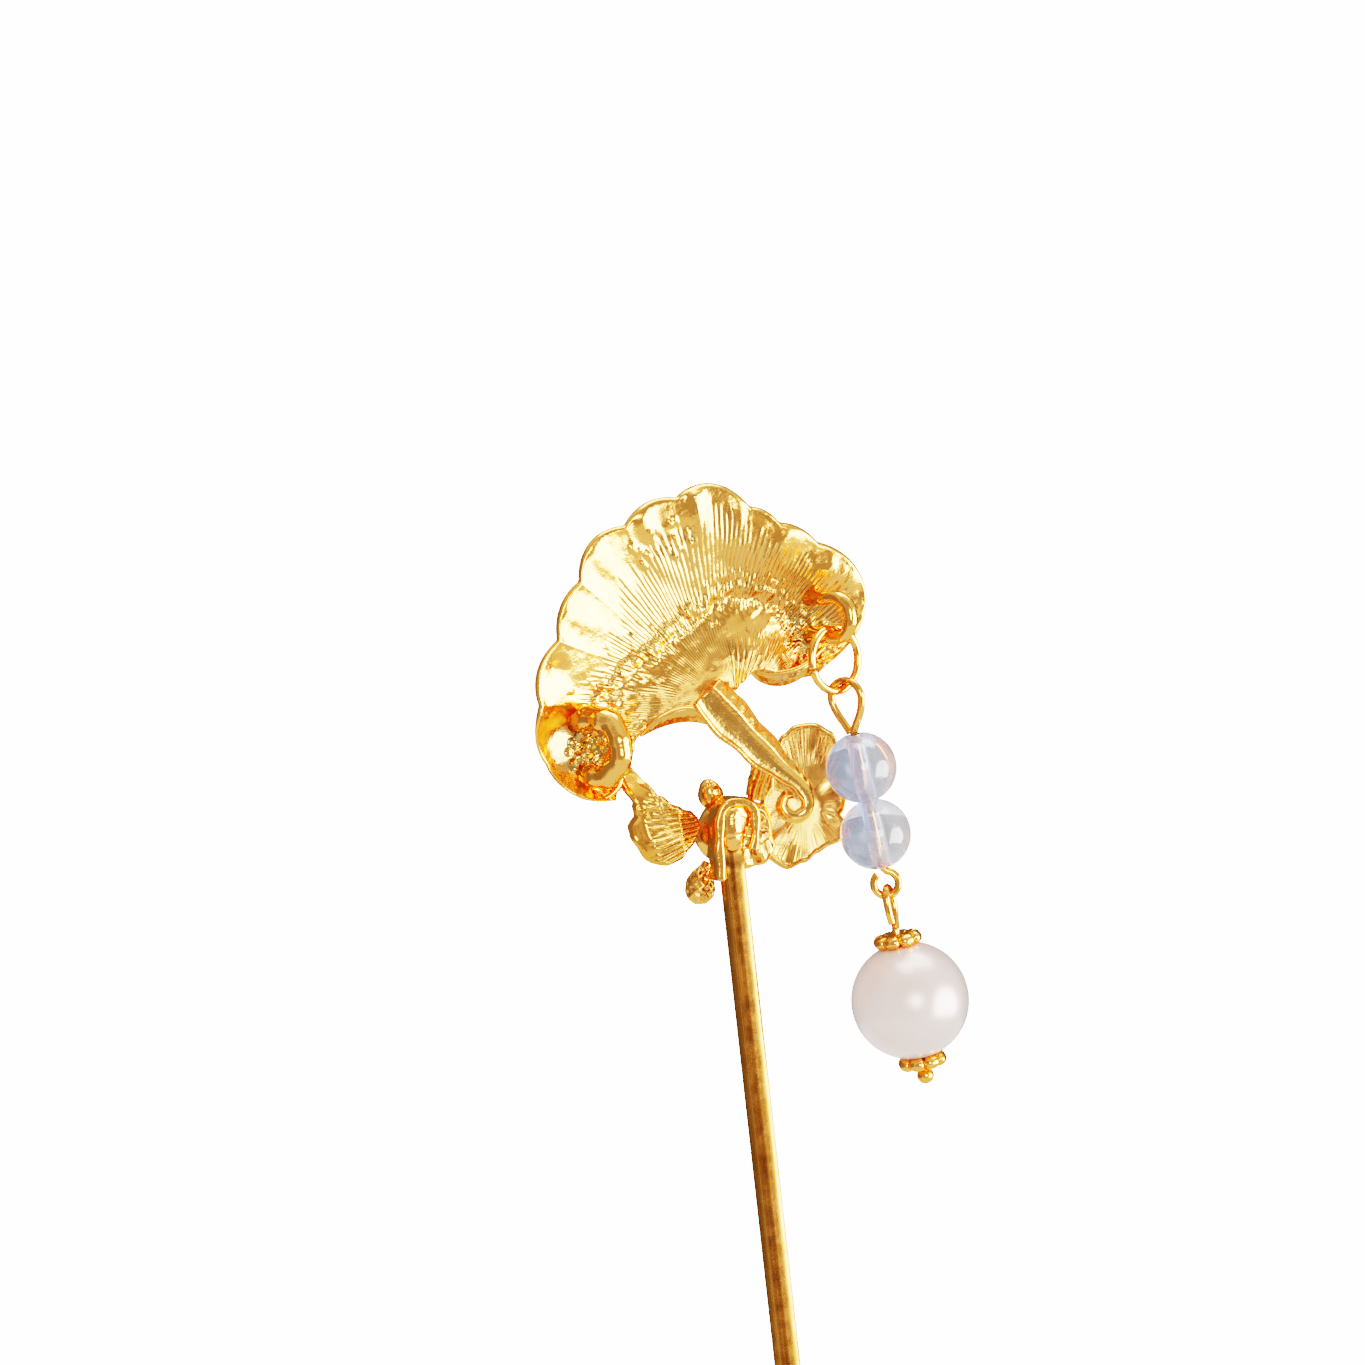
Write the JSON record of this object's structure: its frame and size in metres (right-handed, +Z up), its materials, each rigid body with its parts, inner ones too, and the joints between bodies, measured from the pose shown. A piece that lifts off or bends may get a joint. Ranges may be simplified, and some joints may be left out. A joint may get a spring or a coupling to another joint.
{
  "type": "hair pin",
  "caption": "Gilt hair stick with a cast lotus-leaf head on a square shank, and a jump-ring pendant of opaline beads and a capped pearl.",
  "frame": {"origin": "on the shank's axis at the mouth of the socket, where a hand or hair grips the pin below the head", "axes": "+Z up the shank to the head, tip at -Z; -Y the back of the head, the open side of the socket; +X the side the pendant hangs on"},
  "size_m": [0.0339, 0.0129, 0.1553],
  "materials": {
    "gilt_brass": "polished gold plate",
    "opal_glass": "translucent bluish opaline",
    "pearl_coat": "pearlescent cream-pink coat"
  },
  "bodies": {
    "pin": {"shank": "gilt_brass", "shank_socket": "gilt_brass", "braze_bead": "gilt_brass", "lotus_leaf": "gilt_brass", "leaf_lug_right": "gilt_brass", "leaf_lug_left": "gilt_brass", "leaf_stalk": "gilt_brass", "stalk_limb": "gilt_brass", "stem_hub": "gilt_brass", "small_leaf": "gilt_brass", "side_blossom": "gilt_brass", "seed_pod": "gilt_brass", "top_bud": "gilt_brass"},
    "ring": {"jump_ring": "gilt_brass"},
    "link": {"bead_link": "gilt_brass"},
    "opal_upper": {"opal_bead_upper": "opal_glass"},
    "opal_lower": {"opal_bead_lower": "opal_glass"},
    "drop": {"head_pin": "gilt_brass"},
    "cap_upper": {"bead_cap_upper": "gilt_brass"},
    "pearl_ball": {"pearl": "pearl_coat"},
    "cap_lower": {"bead_cap_lower": "gilt_brass"}
  },
  "joints": [
    {"name": "ring_swing", "type": "hinge", "parent": "pin", "child": "ring", "pos_m": [0.01027, -0.0026, 0.01933], "axis": [0.6174, -0.7867, 0], "range_deg": [-12, 12]},
    {"name": "link_swing", "type": "hinge", "parent": "ring", "child": "link", "pos_m": [0.0108, -0.00235, 0.01496], "axis": [0.8708, 0.4137, 0.2656], "range_deg": [-35, 8]},
    {"name": "opal_upper_spin", "type": "hinge", "parent": "link", "child": "opal_upper", "pos_m": [0.01148, -0.00254, 0.00816], "axis": [0.0988, -0.0284, -0.9947], "continuous": true},
    {"name": "opal_lower_spin", "type": "hinge", "parent": "link", "child": "opal_lower", "pos_m": [0.01205, -0.00271, 0.00242], "axis": [0.0988, -0.0284, -0.9947], "continuous": true},
    {"name": "drop_swing", "type": "hinge", "parent": "link", "child": "drop", "pos_m": [0.01257, -0.00285, -0.0029], "axis": [0.9569, -0.2748, 0.0941], "range_deg": [-35, 35]},
    {"name": "cap_upper_spin", "type": "hinge", "parent": "drop", "child": "cap_upper", "pos_m": [0.01291, -0.00295, -0.00671], "axis": [0.0905, -0.026, -0.9956], "continuous": true},
    {"name": "pearl_spin", "type": "hinge", "parent": "drop", "child": "pearl_ball", "pos_m": [0.01339, -0.00309, -0.01198], "axis": [0.0905, -0.026, -0.9956], "continuous": true},
    {"name": "cap_lower_spin", "type": "hinge", "parent": "drop", "child": "cap_lower", "pos_m": [0.01387, -0.00323, -0.01726], "axis": [0.0905, -0.026, -0.9956], "continuous": true}
  ]
}
